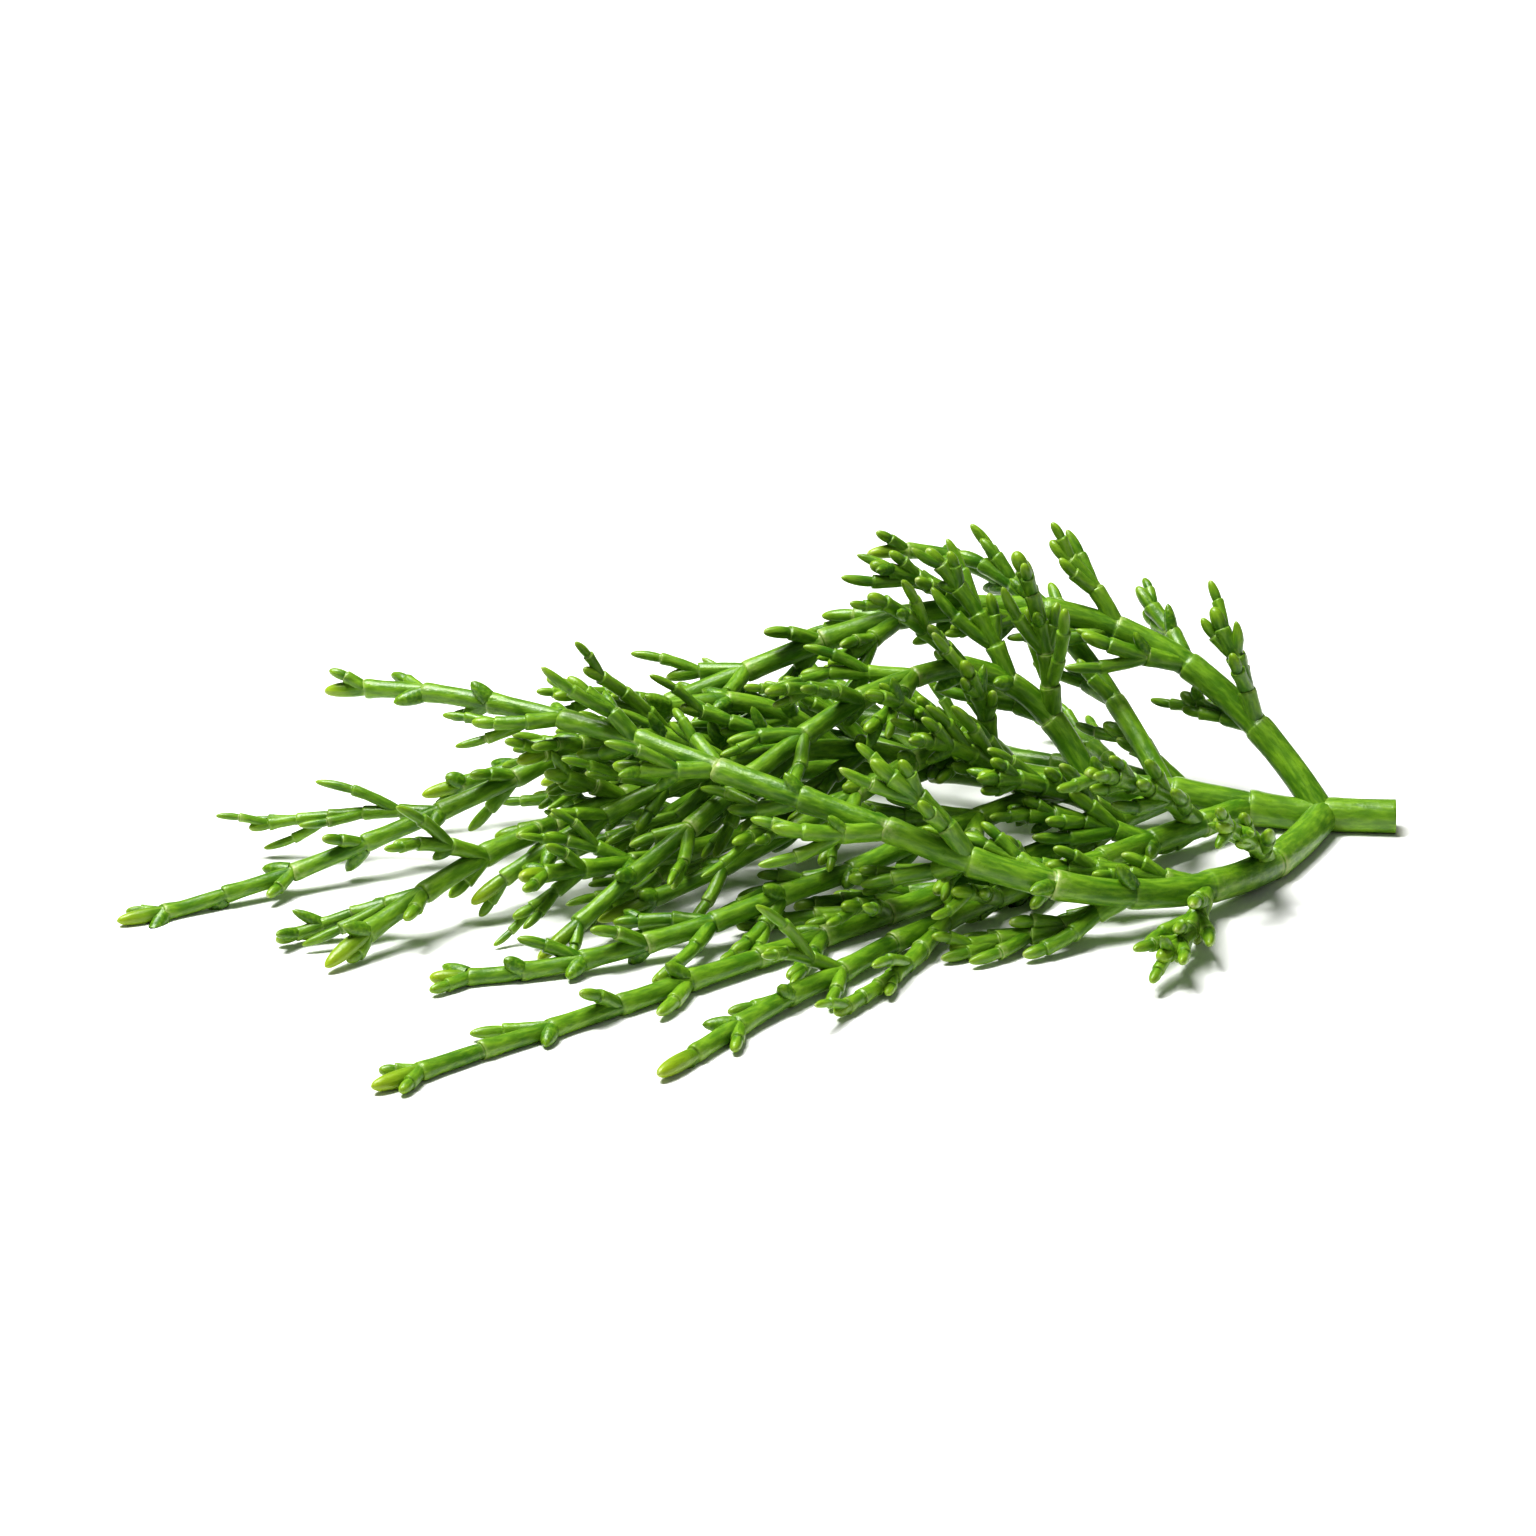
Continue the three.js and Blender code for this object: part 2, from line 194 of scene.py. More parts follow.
@dataclass
class Stem:
    """A stem, branch or shoot: its route's four points, joints and thickness, in millimetres."""

    name: str
    route: np.ndarray
    joints: int
    thickness: tuple
    pair_turn: float = 0
    reach: float = 1
    bare_joints: int = 0
    grown: list = field(default_factory=list)

    def point(self, t):
        t = np.asarray(t, float)[..., None]
        a, b, c, d = self.route
        u = 1 - t
        return a * u**3 + b * 3 * u * u * t + c * 3 * u * t * t + d * t**3

    def radius(self, t):
        return (self.thickness[0] + (self.thickness[1] - self.thickness[0]) * np.asarray(t)) / 2

    def middle(self, t):
        """The stem's middle, kept up where the stem lies on the surface."""
        middle = self.point(t)
        middle[..., 2] = np.maximum(middle[..., 2], self.radius(t) * PRESS)
        return middle

    def directions(self, t):
        """Along the stem, level to its side, and over its back."""
        t = np.asarray(t, float)[..., None]
        a, b, c, d = self.route
        u = 1 - t
        ahead = unit((b - a) * u * u + (c - b) * 2 * u * t + (d - c) * t * t)
        side = unit(np.cross(ahead, UP))
        return ahead, side, np.cross(side, ahead)

    def joint_at(self, k):
        return 1 - (1 - k / self.joints) ** JOINT_CROWDING

    def length(self):
        return float(np.linalg.norm(np.diff(self.route, axis=0), axis=1).sum())


@dataclass
class Grown:
    """What grew at one side of a joint: a shoot, or a shut bud if it is short."""

    joint: int
    side: int
    outward: np.ndarray
    length: float
    shoot: Stem

    def is_bud(self):
        return self.length <= BUD_LENGTH[1]


def unit(v):
    return v / np.linalg.norm(v, axis=-1, keepdims=True)


def seeded_draw(seed):
    """A draw between two values, the same on every run."""
    state = seed

    def draw(low, high):
        nonlocal state
        state = state * DRAW_MULTIPLIER % DRAW_MODULUS
        return low + (high - low) * state / DRAW_MODULUS

    return draw


class Balls:
    """Balls along a stem, from the depth `first` past its root, for testing clearance."""

    def __init__(self, stem, first=0.0):
        count = max(2, math.ceil(stem.length() / BALL_STEP))
        t = np.arange(count + 1) / count
        t = t[t * stem.length() >= first]
        self.at = stem.middle(t)
        self.radius = stem.radius(t)
        self.depth = t * stem.length()
        self.centre = self.at.mean(axis=0)
        self.reach = float(np.linalg.norm(self.at - self.centre, axis=1).max() + self.radius.max())

    def is_far_from(self, other, clearance):
        return math.dist(self.centre, other.centre) > self.reach + other.reach + clearance

    def is_within(self, box):
        reach = self.radius[:, None]
        return (self.at - reach > box[0]).all() and (self.at + reach < box[1]).all()

    def is_clear(self, parent, root, own_depth, own_reach, placed, clearance):
        """Whether they stay clear of every stem, and of their own parent past the root."""
        for stem, other in placed:
            if self.is_far_from(other, clearance):
                continue
            mine = slice(None)
            theirs = slice(None)
            if stem is parent:
                mine = self.depth >= own_depth
                theirs = np.linalg.norm(other.at - root, axis=1) > own_reach
            gaps = np.linalg.norm(self.at[mine][:, None] - other.at[theirs][None], axis=2)
            gaps -= self.radius[mine][:, None] + other.radius[theirs][None]
            if gaps.size and gaps.min() < clearance:
                return False
        return True


def shoot_from(parent, t, outward, length, turns):
    """A shoot of that length past the skin, leaving its parent at share t."""
    ahead = parent.directions(t)[0]
    radius = float(parent.radius(t))
    grown = SHOOT_THICKNESS[0] + SHOOT_THICKNESS[1] * length
    is_bud = length <= BUD_LENGTH[1]
    base = BUD_THICK if is_bud else min(SHOOT_THICKEST, radius * SHOOT_PARENT_SHARE, grown)
    route = [parent.point(t)]
    for degrees in turns:
        a = math.radians(degrees)
        third = (length + radius * SKIN_DEPTH) / len(turns)
        route.append(route[-1] + outward * math.sin(a) * third + ahead * math.cos(a) * third)
    for point in route[1:]:
        point[2] = max(point[2], base / 2)
    return Stem(parent.name, np.array(route), 1, (base, base * SHOOT_TAPER))


@dataclass
class Habit:
    """How one kind of shoot grows: its turns, the space it keeps, its least length, its box."""

    turns: tuple
    clearance: float
    least: float
    box: tuple = ((-math.inf,) * 3, (math.inf,) * 3)


SHOOT_HABIT = Habit(SHOOT_TURNS, CLEARANCE, BUD_LENGTH[0])
FINGER_HABIT = Habit(FINGER_TURNS, FINE_CLEARANCE, FINGER_LEAST, FINGER_BOX)


def fitting_growth(parent, k, side, full_length, placed, habit):
    """The longest shoot near its pair's plane that touches nothing else."""
    t = parent.joint_at(k)
    skin = float(parent.radius(t))
    _, level, over = parent.directions(t)
    for share in LENGTHS_TO_TRY:
        length = full_length * share
        if length < habit.least:
            return None
        for extra in TURNS_TO_TRY:
            turn = math.radians(parent.pair_turn + 90 * k + extra)
            outward = (level * math.cos(turn) + over * math.sin(turn)) * side
            shoot = shoot_from(parent, t, outward, length, habit.turns)
            balls = Balls(shoot, skin)
            own = (parent, shoot.route[0], skin + ROOT_DEPTH, ROOT_REACH + length)
            if balls.is_within(habit.box) and balls.is_clear(*own, placed, habit.clearance):
                placed.append((shoot, balls))
                return Grown(k, side, outward, length, shoot)
    return None


def grow_shoots(parent, placed, draw):
    """The shoots and buds that the solids have too, drawn in the same order."""
    for k in range(parent.bare_joints + 1, parent.joints):
        for side in (1, -1):
            chance = draw(0, 1)
            size = draw(0, 1)
            young = (1 - parent.joint_at(k)) ** SHOOT_CROWDING
            share = SHOOT_SHORTEST + (1 - SHOOT_SHORTEST) * size
            length = share * SHOOT_REACH * parent.reach * young + SHOOT_LEAST
            if chance < BUD_SHARE:
                length = BUD_LENGTH[0] + (BUD_LENGTH[1] - BUD_LENGTH[0]) * size
            length = LONG_SHOOTS.get((parent.name, k, side), length)
            grown = fitting_growth(parent, k, side, length, placed, SHOOT_HABIT)
            if grown:
                parent.grown.append(grown)


def grow_fingers(parent, placed, draw):
    """Fingers, which only the looks have, wherever a joint is still bare."""
    taken = {(grown.joint, grown.side) for grown in parent.grown}
    for k in range(parent.bare_joints + 1, parent.joints):
        for side in (1, -1):
            fade = FINGER_FADE[0] - FINGER_FADE[1] * parent.joint_at(k)
            length = draw(*FINGER_LENGTH) * fade
            if (k, side) in taken:
                continue
            finger = fitting_growth(parent, k, side, length, placed, FINGER_HABIT)
            if finger:
                finger.shoot.joints = 1 + round(finger.length / FINGER_JOINT)
                parent.grown.append(finger)


def grow_shoot_fingers(parent, placed, draw):
    """Gives a stem's shoots their finer joints, and the longer ones fingers of their own."""
    for grown in parent.grown:
        shoot = grown.shoot
        if not grown.is_bud():
            shoot.joints = max(2, round(grown.length / FINE_SHOOT_JOINT))
            shoot.pair_turn = 90 * grown.joint
            if grown.length > FINGERED_FROM:
                grow_fingers(shoot, placed, draw)


@cache
def grow_plant():
    """The main stem and its branches, by node, with their shoots."""
    main = Stem(
        "main_stem",
        np.array(MAIN_ROUTE, float),
        MAIN_JOINTS,
        MAIN_THICKNESS,
        MAIN_PAIR_TURN,
        bare_joints=MAIN_BARE_JOINTS,
    )
    stems = [main]
    for name, joint, bends, joints, thickness, reach in BRANCHES:
        route = np.array((main.middle(main.joint_at(joint)), *bends), float)
        stems.append(Stem(name, route, joints, thickness, BRANCH_PAIR_TURN, reach))
    placed = [(stem, Balls(stem)) for stem in stems]
    draw = seeded_draw(GROWTH_SEED)
    for stem in stems:
        grow_shoots(stem, placed, draw)
    draw = seeded_draw(FINGER_SEED)
    for stem in stems:
        grow_shoot_fingers(stem, placed, draw)
        grow_fingers(stem, placed, draw)
    return {stem.name: stem for stem in stems}


# Skeletons: one polyline a stem and one point a bud, with what the node tree needs to know


class Skeleton:
    """Points, lines and their values, gathered for one piece."""

    VALUES = {
        "girth": "FLOAT",
        "phase": "FLOAT",
        "tip_joint": "FLOAT",
        "club": "FLOAT",
        "youth": "FLOAT",
        "cut": "FLOAT",
        "is_shoot": "FLOAT",
        "is_bud": "FLOAT",
        "shade": "FLOAT",
        "pair": "FLOAT_VECTOR",
        "ahead": "FLOAT_VECTOR",
        "bud_size": "FLOAT_VECTOR",
    }

    def __init__(self):
        self.points = []
        self.edges = []
        self.values = {name: [] for name in self.VALUES}

    def add(self, points, joined, **given):
        count = len(points)
        first = len(self.points)
        self.points.extend(points)
        if joined:
            self.edges.extend((first + i, first + i + 1) for i in range(count - 1))
        for name, kind in self.VALUES.items():
            width = (3,) if kind == "FLOAT_VECTOR" else ()
            self.values[name].extend(np.broadcast_to(given.get(name, 0.0), (count, *width)))

    def to_object(self, name):
        mesh = bpy.data.meshes.new(name)
        place = (np.array(self.points) - FOOTPRINT_CENTRE) * MM
        mesh.from_pydata(place.tolist(), self.edges, [])
        for value, kind in self.VALUES.items():
            attribute = mesh.attributes.new(value, kind, "POINT")
            key = "vector" if kind == "FLOAT_VECTOR" else "value"
            attribute.data.foreach_set(key, np.array(self.values[value], np.float32).ravel())
        piece = bpy.data.objects.new(name, mesh)
        bpy.context.scene.collection.objects.link(piece)
        return piece


def led_by_first(values, count):
    """The values, with the first one repeated before them."""
    return np.concatenate((values[:1].repeat(count, axis=0), values))


def draw_stem(skeleton, stem, rings, youth_reach, is_shoot, is_cut, wobble, shade):
    """Adds one stem's polyline, ring by ring, each joint a little off the smooth route."""
    pairs = {}
    for grown in stem.grown:
        pairs.setdefault(grown.joint, grown.outward * grown.side)
    ts, phases, pair, tips = [], [], [], []
    starts = [stem.joint_at(k) for k in range(stem.joints + 1)]
    for k in range(stem.joints):
        is_tip = k == stem.joints - 1
        for phase in TIP_RINGS if is_tip else rings:
            t = starts[k] + (starts[k + 1] - starts[k]) * phase
            ts.append(t)
            phases.append(phase)
            tips.append(float(is_tip))
            turn = math.radians(stem.pair_turn + 90 * (k + 1))
            _, level, over = stem.directions(t)
            pair.append(pairs.get(k + 1, level * math.cos(turn) + over * math.sin(turn)))
    ts, phases, pair, tips = (np.array(values) for values in (ts, phases, pair, tips))
    girth = stem.radius(ts)
    ahead, level, over = stem.directions(ts)
    offsets = np.array([[wobble(-1, 1), wobble(-1, 1)] for _ in starts]) * WOBBLE
    offsets[0] = 0
    aside, above = (
        (np.interp(ts, starts, offsets[:, i]) * 2 * girth)[:, None] for i in (0, 1)
    )
    middle = stem.point(ts) + level * aside + over * above
    middle[:, 2] = np.maximum(middle[:, 2], girth * PRESS)
    swelling = [1 + UNEVENNESS * wobble(-1, 1) for _ in starts]
    girth = girth * np.interp(ts, starts, swelling)
    youth = np.exp(-(1 - ts) * stem.length() / youth_reach)
    foot = SHOOT_CLUB if is_shoot else STEM_CLUB
    club = foot + (1 - foot) * ts
    cut = np.zeros(len(ts))
    if is_cut:
        phases[: len(rings)] = CUT_AWAY + (1 - CUT_AWAY) * phases[: len(rings)]
        middle = np.vstack(([middle[0] - ahead[0] * step for step in CUT_STEPS], middle))
        girth = np.concatenate((np.array(CUT_GIRTHS) * girth[0], girth))
        cut = np.concatenate((CUT_COLOUR, cut))
        phases, pair, tips, ahead, youth, club = (
            led_by_first(values, len(CUT_STEPS))
            for values in (phases, pair, tips, ahead, youth, club)
        )
    skeleton.add(
        middle,
        joined=True,
        girth=girth * MM,
        phase=phases,
        tip_joint=tips,
        youth=youth,
        club=club,
        cut=cut,
        is_shoot=float(is_shoot),
        shade=shade,
        pair=pair,
        ahead=ahead,
    )


def draw_bud(skeleton, parent, bud, thick, shade):
    """Adds a bud's point, under the skin, and the way it leans."""
    t = parent.joint_at(bud.joint)
    skin = float(parent.radius(t))
    lean = math.radians(BUD_LEAN)
    heading = bud.outward * math.sin(lean) + parent.directions(t)[0] * math.cos(lean)
    root = parent.middle(t) + bud.outward * skin * BUD_ROOT
    reach = bud.length + skin * (1 - BUD_ROOT)
    size = np.array((thick / 2, thick / 2, reach)) * MM
    skeleton.add([root], joined=False, is_bud=1.0, ahead=heading, bud_size=size, shade=shade)


def draw_growth(skeleton, parent, thick, wobble, shade):
    """Adds the shoots and buds of a stem or shoot, and what grew on them in turn."""
    for grown in parent.grown:
        if grown.is_bud():
            draw_bud(skeleton, parent, grown, thick, shade)
            continue
        own_shade = wobble(0, 1)
        youth_reach = SHOOT_YOUTH[0] + SHOOT_YOUTH[1] * grown.length
        draw_stem(skeleton, grown.shoot, SHOOT_RINGS, youth_reach, True, False, wobble, own_shade)
        draw_growth(skeleton, grown.shoot, FINGER_BUD_THICK, wobble, own_shade)


def draw_piece(stem):
    """The skeleton of one node: the stem, its shoots, and every bud."""
    skeleton = Skeleton()
    wobble = seeded_draw(WOBBLE_SEED + sum(map(ord, stem.name)))
    is_main = stem.name == "main_stem"
    shade = wobble(*STEM_SHADE)
    draw_stem(skeleton, stem, STEM_RINGS, STEM_YOUTH, False, is_main, wobble, shade)
    draw_growth(skeleton, stem, FINE_BUD_THICK, wobble, shade)
    return skeleton


# Node tree: from skeleton to flesh


def add_node(tree, kind, inputs=(), **settings):
    """Adds one node, with its properties and with values or links for its sockets."""
    made = tree.nodes.new(kind)
    for name, value in settings.items():
        setattr(made, name, value)
    for key, value in dict(inputs).items():
        if isinstance(value, bpy.types.NodeSocket):
            tree.links.new(value, made.inputs[key])
        else:
            made.inputs[key].default_value = value
    return made


def add_math(tree, operation, *values):
    """Adds one Math node and returns its result."""
    return add_node(tree, "ShaderNodeMath", dict(enumerate(values)), operation=operation).outputs[0]


def shape_curve(node, points):
    """Sets a Float Curve node to pass through the points."""
    curve = node.mapping.curves[0]
    while len(curve.points) < len(points):
        curve.points.new(0.5, 0.5)
    for slot, (x, y) in zip(curve.points, points):
        slot.location = (x, y)
        slot.handle_type = "AUTO_CLAMPED"
    node.mapping.update()


# Thickness along a joint, as shares of the stem's radius times FULL. A young joint has a narrow
# foot and a rim that swells and turns in, an old one is nearly straight, and a tip rounds off.
FULL = 0.8
YOUNG_PROFILE = (
    (0, 0.66), (0.08, 0.71), (0.25, 0.76), (0.55, 0.785),
    (0.78, 0.82), (0.9, 0.87), (0.96, 0.85), (1, 0.72),
)
OLD_PROFILE = (
    (0, 0.77), (0.05, 0.785), (0.25, 0.785), (0.6, 0.785),
    (0.8, 0.8), (0.9, 0.825), (0.96, 0.82), (1, 0.785),
)
TIP_PROFILE = (
    (0, 0.66), (0.12, 0.72), (0.4, 0.77), (0.68, 0.69),
    (0.86, 0.52), (0.96, 0.3), (1, 0.08),
)
BUD_PROFILE = (
    (0, 0.8), (0.25, 0.79), (0.5, 0.71), (0.7, 0.58),
    (0.84, 0.43), (0.93, 0.29), (0.98, 0.16), (1, 0.05),
)
# Where along a joint its two lobes stand out, and how narrow they are
RIM_WINDOW = ((0, 0), (0.6, 0), (0.84, 0.55), (0.95, 1), (1, 0.85))
LOBE_SHARPNESS = 3.0
WELD = 1e-7  # metres within which corners are one


def build_stem_tree():
    """Tubes along the skeleton's lines, lobes on their rims, and a bud on each loose point."""
    tree = bpy.data.node_groups.new("samphire_stems", "GeometryNodeTree")
    sockets = (
        ("Skeleton", "NodeSocketGeometry", None),
        ("Stem Sides", "NodeSocketInt", 16),
        ("Shoot Sides", "NodeSocketInt", 12),
        ("Bud Sides", "NodeSocketInt", 8),
        ("Lobe Height", "NodeSocketFloat", 0.16),
        ("Lobe Reach", "NodeSocketFloat", 0.3),
        ("Flesh", "NodeSocketMaterial", None),
    )
    for name, kind, value in sockets:
        socket = tree.interface.new_socket(name, in_out="INPUT", socket_type=kind)
        if value is not None:
            socket.default_value = value
    tree.interface.new_socket("Plant", in_out="OUTPUT", socket_type="NodeSocketGeometry")
    given = add_node(tree, "NodeGroupInput").outputs
    math_of = partial(add_math, tree)

    def stored(name, kind="FLOAT"):
        made = add_node(tree, "GeometryNodeInputNamedAttribute", {"Name": name}, data_type=kind)
        return made.outputs["Attribute"]

    def vector_of(operation, *values, **more):
        inputs = {**dict(enumerate(values)), **more}
        made = add_node(tree, "ShaderNodeVectorMath", inputs, operation=operation)
        return made.outputs["Value" if operation == "DOT_PRODUCT" else "Vector"]

    def mix_of(share, a, b):
        made = add_node(tree, "ShaderNodeMix", {0: share, 2: a, 3: b}, data_type="FLOAT")
        return made.outputs[0]

    def curve_of(points, value):
        made = add_node(tree, "ShaderNodeFloatCurve", {"Value": value})
        shape_curve(made, points)
        return made.outputs["Value"]

    # Tubes
    phase = stored("phase")
    club = stored("club")
    profile = mix_of(club, curve_of(OLD_PROFILE, phase), curve_of(YOUNG_PROFILE, phase))
    profile = mix_of(stored("tip_joint"), profile, curve_of(TIP_PROFILE, phase))
    girth = stored("girth")
    radius = math_of("MULTIPLY", math_of("DIVIDE", profile, FULL), girth)
    lines = add_node(tree, "GeometryNodeMeshToCurve", {"Mesh": given["Skeleton"]}).outputs[0]
    position = add_node(tree, "GeometryNodeInputPosition").outputs[0]
    lines = add_node(
        tree,
        "GeometryNodeStoreNamedAttribute",
        {"Geometry": lines, "Name": "middle", "Value": position},
        data_type="FLOAT_VECTOR",
        domain="POINT",
    ).outputs[0]
    orders = add_node(
        tree,
        "GeometryNodeSeparateGeometry",
        {"Geometry": lines, "Selection": math_of("GREATER_THAN", stored("is_shoot"), 0.5)},
        domain="CURVE",
    ).outputs
    joined = add_node(tree, "GeometryNodeJoinGeometry")
    for curves, sides in ((orders[1], "Stem Sides"), (orders[0], "Shoot Sides")):
        circle = add_node(
            tree, "GeometryNodeCurvePrimitiveCircle", {"Resolution": given[sides], "Radius": 1.0}
        ).outputs[0]
        tube = add_node(
            tree,
            "GeometryNodeCurveToMesh",
            {"Curve": curves, "Profile Curve": circle, "Scale": radius, "Fill Caps": True},
        ).outputs[0]
        tree.links.new(tube, joined.inputs[0])

    # Lobes: the rim stands out and forwards on the two sides where the next pair grows
    from_middle = vector_of("SUBTRACT", position, stored("middle", "FLOAT_VECTOR"))
    radial = vector_of("NORMALIZE", from_middle)
    pair = stored("pair", "FLOAT_VECTOR")
    ahead = stored("ahead", "FLOAT_VECTOR")
    across = vector_of("DOT_PRODUCT", radial, pair)
    window = math_of("MULTIPLY", curve_of(RIM_WINDOW, phase), math_of("MULTIPLY", girth, club))
    window = math_of("MULTIPLY", window, math_of("SUBTRACT", 1.0, stored("tip_joint")))
    facing = math_of("POWER", math_of("ABSOLUTE", across), LOBE_SHARPNESS)
    lobe = math_of("MULTIPLY", facing, window)
    out = vector_of("SCALE", radial, Scale=math_of("MULTIPLY", lobe, given["Lobe Height"]))
    forward = vector_of("SCALE", ahead, Scale=math_of("MULTIPLY", lobe, given["Lobe Reach"]))
    tubes = add_node(
        tree,
        "GeometryNodeSetPosition",
        {"Geometry": joined.outputs[0], "Offset": vector_of("ADD", out, forward)},
    ).outputs[0]

    # Buds: a plump cone with a blunt tip, stood on each loose point
    line = add_node(
        tree, "GeometryNodeCurvePrimitiveLine", {"Start": (0, 0, 0), "End": (0, 0, 1)}
    ).outputs[0]
    line = add_node(
        tree, "GeometryNodeResampleCurve", {"Curve": line, "Count": BUD_RINGS}
    ).outputs[0]
    along = add_node(tree, "GeometryNodeSplineParameter").outputs["Factor"]
    line = add_node(
        tree,
        "GeometryNodeStoreNamedAttribute",
        {"Geometry": line, "Name": "bud_share", "Value": along},
        data_type="FLOAT",
        domain="POINT",
    ).outputs[0]
    bud_radius = math_of("DIVIDE", curve_of(BUD_PROFILE, along), FULL)
    circle = add_node(
        tree, "GeometryNodeCurvePrimitiveCircle", {"Resolution": given["Bud Sides"], "Radius": 1.0}
    ).outputs[0]
    bud = add_node(
        tree,
        "GeometryNodeCurveToMesh",
        {"Curve": line, "Profile Curve": circle, "Scale": bud_radius, "Fill Caps": True},
    ).outputs[0]
    points = add_node(
        tree,
        "GeometryNodeMeshToPoints",
        {"Mesh": given["Skeleton"], "Selection": math_of("GREATER_THAN", stored("is_bud"), 0.5)},
    ).outputs[0]
    lean = add_node(
        tree, "FunctionNodeAlignRotationToVector", {"Vector": ahead}, axis="Z"
    ).outputs[0]
    buds = add_node(
        tree,
        "GeometryNodeInstanceOnPoints",
        {
            "Points": points,
            "Instance": bud,
            "Rotation": lean,
            "Scale": stored("bud_size", "FLOAT_VECTOR"),
        },
    ).outputs[0]

    # Everything rests on the surface, pressed flat where it touches
    both = add_node(tree, "GeometryNodeJoinGeometry", {0: tubes})
    tree.links.new(buds, both.inputs[0])
    real = add_node(tree, "GeometryNodeRealizeInstances", {"Geometry": both.outputs[0]}).outputs[0]
    xyz = add_node(tree, "ShaderNodeSeparateXYZ", {0: position}).outputs
    level = add_node(
        tree, "ShaderNodeCombineXYZ", {0: xyz[0], 1: xyz[1], 2: math_of("MAXIMUM", xyz[2], 0.0)}
    ).outputs[0]
    resting = add_node(
        tree, "GeometryNodeSetPosition", {"Geometry": real, "Position": level}
    ).outputs[0]
    smooth = add_node(tree, "GeometryNodeSetShadeSmooth", {"Geometry": resting}).outputs[0]
    dressed = add_node(
        tree, "GeometryNodeSetMaterial", {"Geometry": smooth, "Material": given["Flesh"]}
    ).outputs[0]
    add_node(tree, "NodeGroupOutput", {0: dressed})
    return tree


def grow_piece(stem, tree, flesh, shape):
    """Turns one skeleton into a plain mesh that stands for its node."""
    source = draw_piece(stem).to_object(f"skeleton_{stem.name}")
    grower = source.modifiers.new("samphire_stems", "NODES")
    grower.node_group = tree
    values = {
        "Stem Sides": shape.stem_sides,
        "Shoot Sides": shape.shoot_sides,
        "Bud Sides": shape.bud_sides,
        "Lobe Height": shape.lobe_height,
        "Lobe Reach": shape.lobe_reach,
        "Flesh": flesh,
    }
    for item in tree.interface.items_tree:
        if item.in_out == "INPUT" and item.name in values:
            grower[item.identifier] = values[item.name]
    graph = bpy.context.evaluated_depsgraph_get()
    mesh = bpy.data.meshes.new_from_object(source.evaluated_get(graph), depsgraph=graph)
    bpy.data.objects.remove(source)
    tidy = bmesh.new()
    tidy.from_mesh(mesh)
    bmesh.ops.remove_doubles(tidy, verts=tidy.verts, dist=WELD)
    bmesh.ops.dissolve_degenerate(tidy, edges=tidy.edges, dist=WELD)
    tidy.to_mesh(mesh)
    tidy.free()
    mesh.name = f"samphire_{stem.name}"
    piece = bpy.data.objects.new(mesh.name, mesh)
    bpy.context.scene.collection.objects.link(piece)
    if not mesh.polygons:
        raise RuntimeError(f"{stem.name} has no faces")
    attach(piece, "root")
    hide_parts(stem.name)
    return piece


# Finishes

# Widths of the skin's patterns, in millimetres. Its cells are about 0.15 mm wide, and are drawn at
# twice that to show in the render.
PATCH = 4.5
STREAK = 0.5
PALE_NODE = 5.0
BLOTCH = 0.8
CELL = 0.3
DIMPLE = 1.1
STREAK_PULL = 0.78  # how far places are drawn together lengthwise, which makes streaks of noise
BOARD_GRAIN = 900.0  # grains a metre


